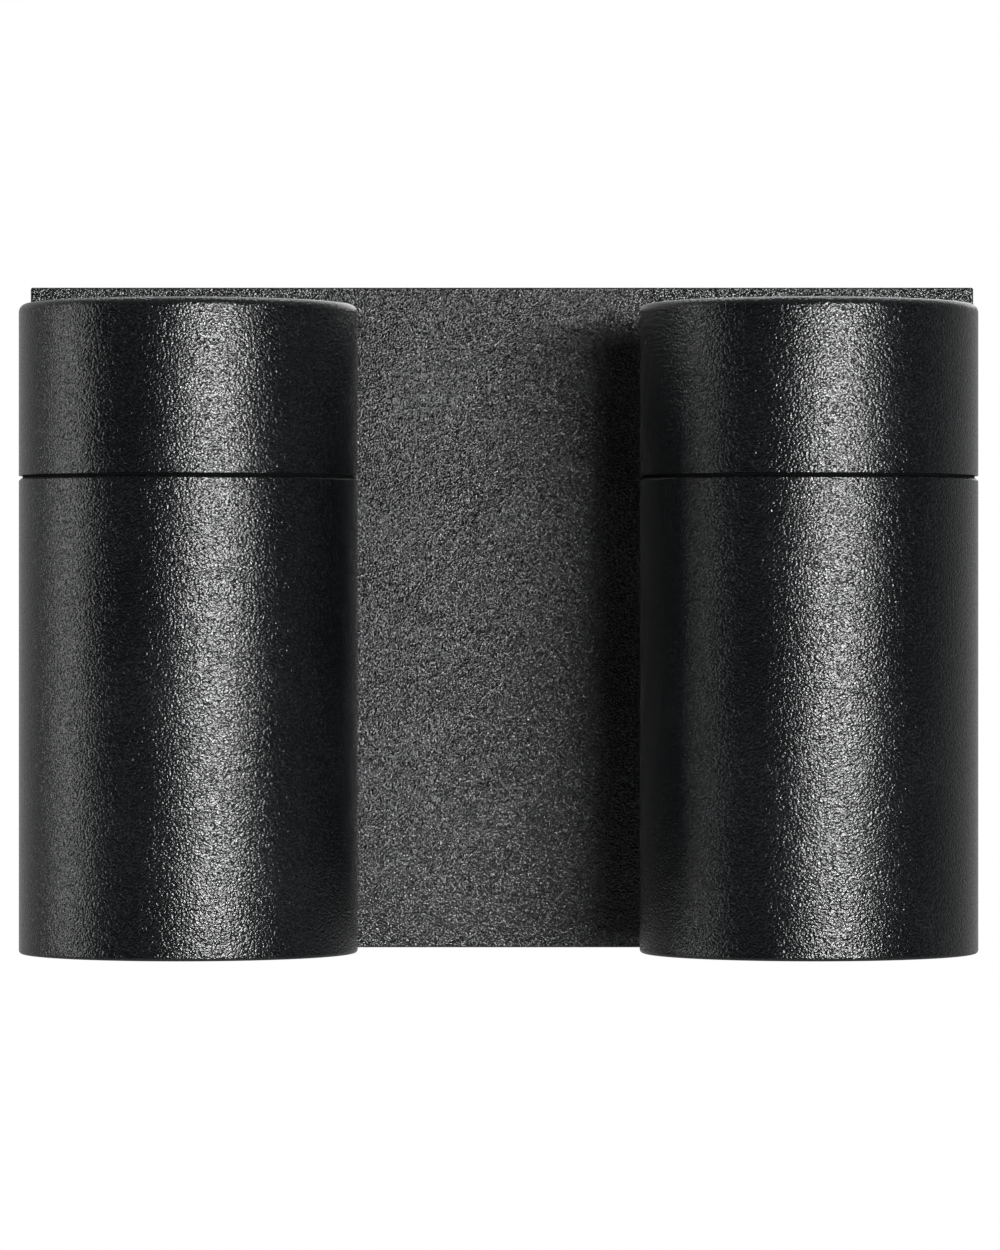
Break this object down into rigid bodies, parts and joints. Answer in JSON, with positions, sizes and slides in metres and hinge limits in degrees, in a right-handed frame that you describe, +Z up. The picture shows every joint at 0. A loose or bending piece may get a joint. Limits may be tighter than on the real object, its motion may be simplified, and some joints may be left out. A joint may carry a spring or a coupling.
{
  "type": "adjustable double-headed outdoor wall light",
  "caption": "Flat rectangular wall box carrying two cylindrical downlight heads on swivel-and-tilt knuckles, each with a removable lower tube over a reflector lamp.",
  "frame": {"origin": "centre of the cable entry, in the wall plane at the back of the bracket and gasket", "axes": "+Z up, +Y into the wall, +X to the right as seen by someone facing the light"},
  "size_m": [0.175, 0.1044, 0.1226],
  "materials": {
    "black_powder_coat": "die-cast aluminium with a fine textured matt black powder coat",
    "foam_rubber": "closed-cell sealing foam",
    "zinc_plated_steel": "bright zinc plate",
    "blackened_screw_steel": "black-coated stainless steel",
    "black_rubber": "matt moulded rubber",
    "white_plastic": "moulded polyamide",
    "nickel_brass": "nickel-plated brass",
    "brown_insulation": "extruded insulation",
    "blue_insulation": "extruded insulation",
    "green_yellow_insulation": "extruded insulation, striped",
    "nylon": "natural moulded nylon",
    "spring_steel": "plain spring steel",
    "silicone_rubber": "red-brown silicone rubber",
    "silicone_lead": "heat-resisting insulation",
    "lampholder_ceramic": "steatite, semi-matt",
    "toughened_glass": "clear toughened glass",
    "lamp_plastic": "white moulded lamp body",
    "lamp_lens": "frosted lens"
  },
  "bodies": {
    "wall_unit": {"wall_box_cover": "black_powder_coat", "rear_gasket": "foam_rubber", "mounting_bracket": "zinc_plated_steel", "cover_screws": "blackened_screw_steel", "cable_grommet": "black_rubber", "terminal_block": "white_plastic", "terminal_screws": "nickel_brass", "terminal_fixing_screws": "zinc_plated_steel", "supply_earth_screw": "nickel_brass", "live_cores": "brown_insulation", "neutral_cores": "blue_insulation", "earth_cores": "green_yellow_insulation", "thrust_washers": "nylon"},
    "left_swivel": {"left_swivel_base": "black_powder_coat", "left_swivel_nut": "zinc_plated_steel", "left_wave_washer": "spring_steel", "left_swivel_seal": "silicone_rubber", "left_tilt_screw": "blackened_screw_steel", "left_tilt_nut": "zinc_plated_steel", "left_tilt_washer": "nylon", "left_knuckle_cores": "silicone_lead"},
    "left_head": {"left_rear_cap": "black_powder_coat", "left_holder_plate": "zinc_plated_steel", "left_lampholder": "lampholder_ceramic", "left_holder_screws": "zinc_plated_steel", "left_tube_seal": "silicone_rubber", "left_holder_leads": "silicone_lead", "left_earth_lead": "green_yellow_insulation"},
    "left_tube": {"left_lamp_tube": "black_powder_coat", "left_tube_grub_screw": "blackened_screw_steel", "left_glass_gasket": "silicone_rubber", "left_front_glass": "toughened_glass", "left_retaining_ring": "black_powder_coat"},
    "left_lamp": {"left_lamp_body": "lamp_plastic", "left_lamp_lens": "lamp_lens", "left_lamp_pins": "nickel_brass"},
    "right_swivel": {"right_swivel_base": "black_powder_coat", "right_swivel_nut": "zinc_plated_steel", "right_wave_washer": "spring_steel", "right_swivel_seal": "silicone_rubber", "right_tilt_screw": "blackened_screw_steel", "right_tilt_nut": "zinc_plated_steel", "right_tilt_washer": "nylon", "right_knuckle_cores": "silicone_lead"},
    "right_head": {"right_rear_cap": "black_powder_coat", "right_holder_plate": "zinc_plated_steel", "right_lampholder": "lampholder_ceramic", "right_holder_screws": "zinc_plated_steel", "right_tube_seal": "silicone_rubber", "right_holder_leads": "silicone_lead", "right_earth_lead": "green_yellow_insulation"},
    "right_tube": {"right_lamp_tube": "black_powder_coat", "right_tube_grub_screw": "blackened_screw_steel", "right_glass_gasket": "silicone_rubber", "right_front_glass": "toughened_glass", "right_retaining_ring": "black_powder_coat"},
    "right_lamp": {"right_lamp_body": "lamp_plastic", "right_lamp_lens": "lamp_lens", "right_lamp_pins": "nickel_brass"}
  },
  "joints": [
    {"name": "left_head_swivel", "type": "hinge", "parent": "wall_unit", "child": "left_swivel", "pos_m": [-0.055, -0.0359, 0.045], "axis": [0, 1, 0], "range_deg": [-5, 180]},
    {"name": "left_head_tilt", "type": "hinge", "parent": "left_swivel", "child": "left_head", "pos_m": [-0.055, -0.0359, 0.045], "axis": [-1, 0, 0], "range_deg": [-10, 90], "deforming": ["left_knuckle_cores"]},
    {"name": "left_tube_removal", "type": "slide", "parent": "left_head", "child": "left_tube", "axis": [0, 0, -1], "range_m": [0, 0.065]},
    {"name": "left_lamp_twist", "type": "hinge", "parent": "left_head", "child": "left_lamp", "pos_m": [-0.055, -0.0744, 0.019], "axis": [0, 0, -1], "range_deg": [0, 18]},
    {"name": "right_head_swivel", "type": "hinge", "parent": "wall_unit", "child": "right_swivel", "pos_m": [0.055, -0.0359, 0.045], "axis": [0, -1, 0], "range_deg": [-5, 180]},
    {"name": "right_head_tilt", "type": "hinge", "parent": "right_swivel", "child": "right_head", "pos_m": [0.055, -0.0359, 0.045], "axis": [-1, 0, 0], "range_deg": [-10, 90], "deforming": ["right_knuckle_cores"]},
    {"name": "right_tube_removal", "type": "slide", "parent": "right_head", "child": "right_tube", "axis": [0, 0, -1], "range_m": [0, 0.065]},
    {"name": "right_lamp_twist", "type": "hinge", "parent": "right_head", "child": "right_lamp", "pos_m": [0.055, -0.0744, 0.019], "axis": [0, 0, -1], "range_deg": [0, 18]}
  ]
}
